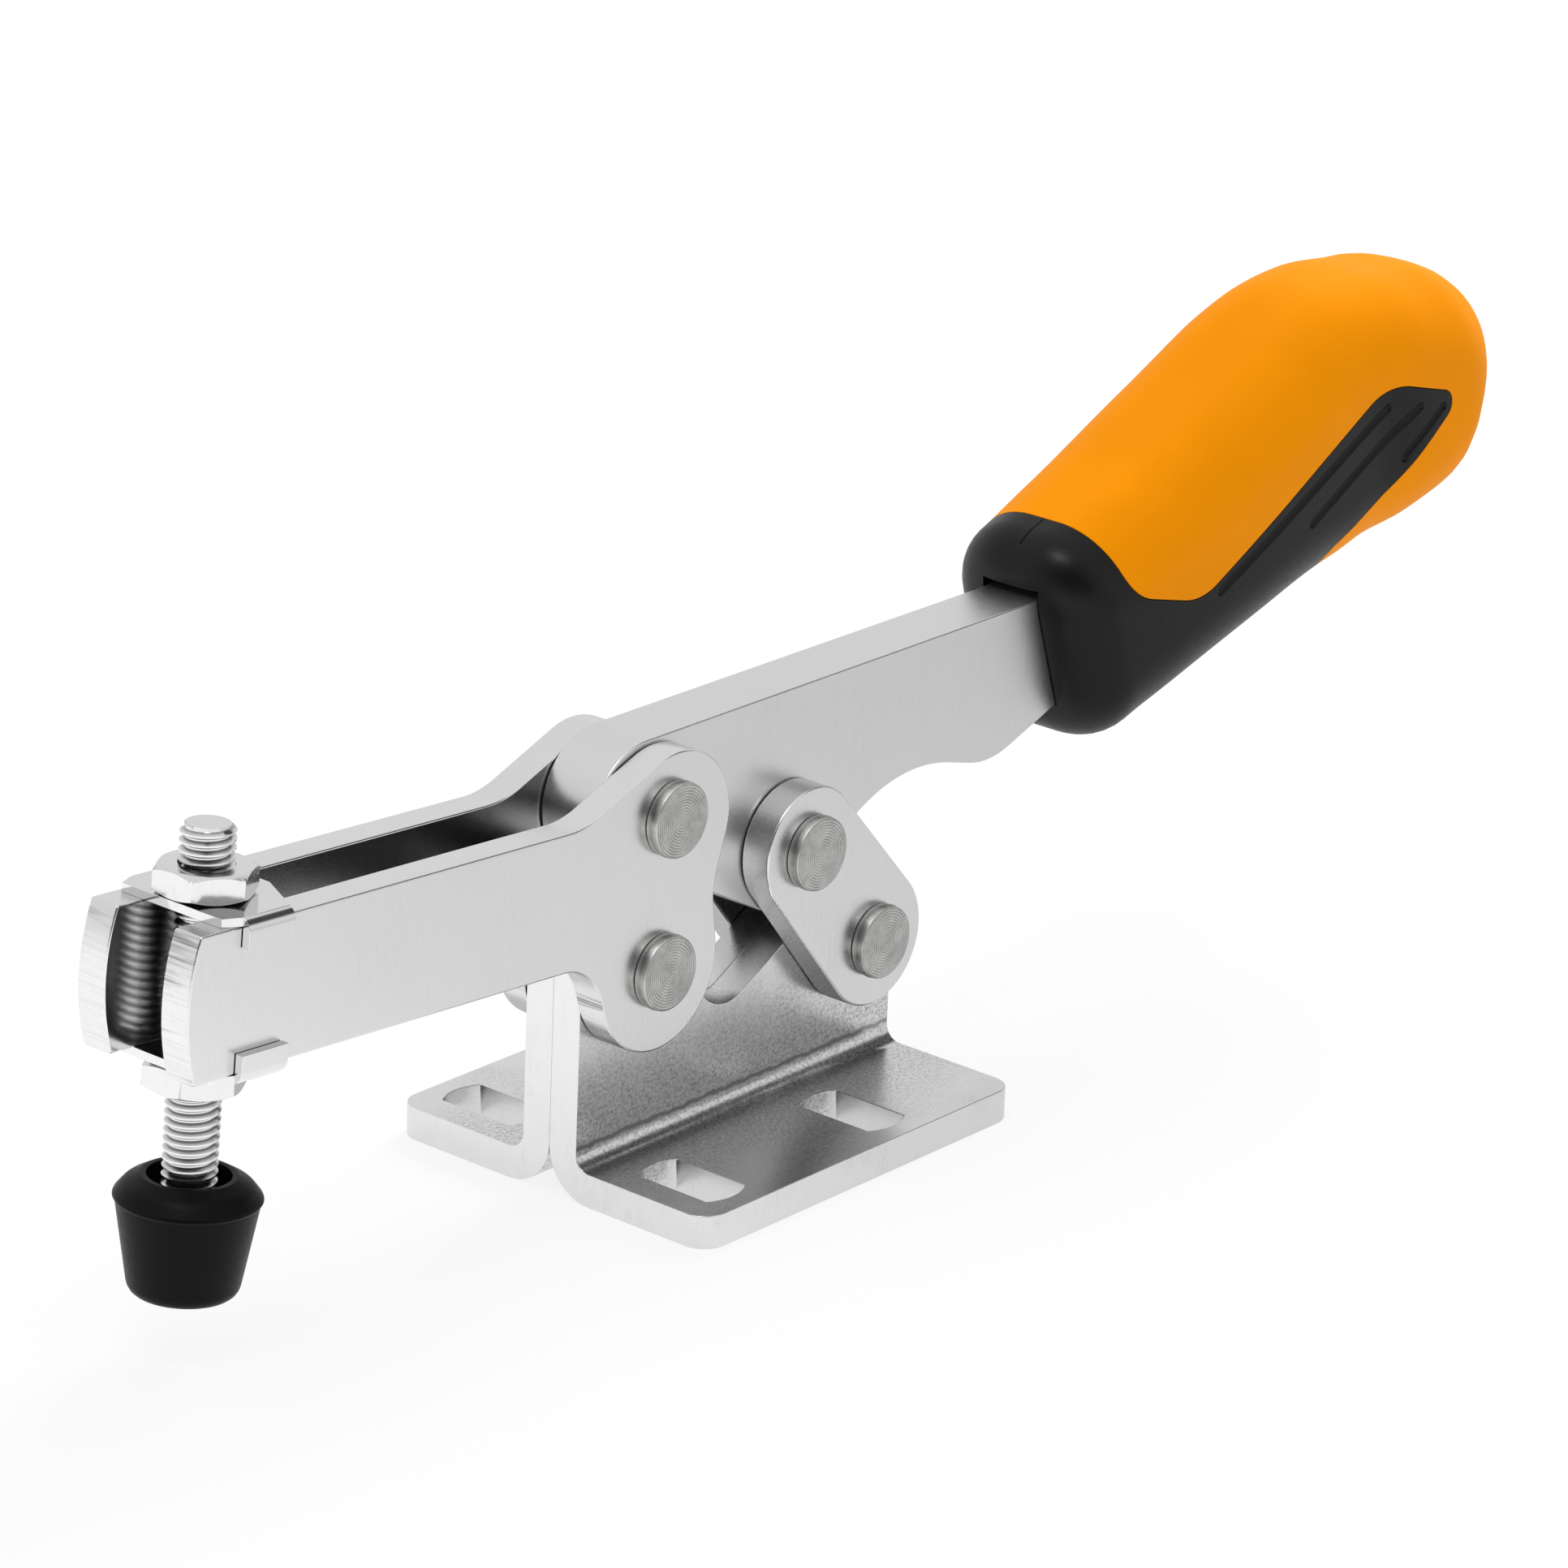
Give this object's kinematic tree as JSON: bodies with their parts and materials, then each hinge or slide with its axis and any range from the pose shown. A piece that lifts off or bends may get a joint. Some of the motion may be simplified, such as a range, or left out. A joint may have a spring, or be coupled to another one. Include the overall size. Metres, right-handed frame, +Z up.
{
  "type": "toggle clamp",
  "caption": "Horizontal over-centre toggle clamp: flanged base with slotted feet, open U arm with rubber-capped clamping screw, riveted links and a contoured two-part handle.",
  "frame": {"origin": "centre of the four mounting slots, on the underside of the base flanges", "axes": "+X along the clamp towards the handle, +Y to the far side, +Z up, away from the mounting surface"},
  "size_m": [0.2267, 0.047, 0.0803],
  "materials": {
    "plate_steel": "satin zinc plate",
    "lever_steel": "satin zinc plate",
    "rivet_steel": "turned",
    "bush_steel": "turned",
    "washer_steel": "zinc plate",
    "fastener_steel": "zinc plate",
    "black_rubber": "matte",
    "black_plastic": "fine grained",
    "orange_plastic": "satin"
  },
  "bodies": {
    "base": {"base_bracket_near": "plate_steel", "base_bracket_far": "plate_steel"},
    "arm": {"arm_plate_near": "plate_steel", "arm_plate_far": "plate_steel", "arm_pivot_rivet": "rivet_steel", "arm_pivot_bush": "bush_steel", "lever_pivot_rivet": "rivet_steel", "lever_pivot_bush": "bush_steel"},
    "carrier": {"upper_clip_washer": "washer_steel", "lower_clip_washer": "washer_steel", "upper_nut": "fastener_steel", "lower_nut": "fastener_steel"},
    "spindle": {"clamping_screw": "fastener_steel", "rubber_cap": "black_rubber"},
    "lever": {"lever": "lever_steel", "handle_core": "black_plastic", "handle_grip": "orange_plastic"},
    "link": {"link_plate_near": "plate_steel", "link_plate_far": "plate_steel", "link_lever_rivet": "rivet_steel", "link_base_rivet": "rivet_steel", "link_base_bush": "bush_steel"}
  },
  "joints": [
    {"name": "arm_pivot", "type": "hinge", "parent": "base", "child": "arm", "pos_m": [-0.01262, 0, 0.02687], "axis": [0, 1, 0], "range_deg": [-3.62, 76.38]},
    {"name": "lever_pivot", "type": "hinge", "parent": "arm", "child": "lever", "pos_m": [-0.01149, 0, 0.04473], "axis": [0, 1, 0], "range_deg": [-114.7, 5.5]},
    {"name": "link_pivot", "type": "hinge", "parent": "base", "child": "link", "pos_m": [0.02544, 0, 0.01999], "axis": [0, 1, 0], "range_deg": [-3.2, 65.8]},
    {"name": "carrier_slide", "type": "slide", "parent": "arm", "child": "carrier", "axis": [0.998, 0, -0.0631], "range_m": [-0.001, 0.038]},
    {"name": "spindle_slide", "type": "slide", "parent": "carrier", "child": "spindle", "axis": [0.0631, 0, 0.998], "range_m": [-0.0044, 0.009]}
  ],
  "couplings": [
    {"joint": "lever_pivot", "follows": "arm_pivot", "ratio": -1.5},
    {"joint": "link_pivot", "follows": "arm_pivot", "ratio": 0.86}
  ]
}
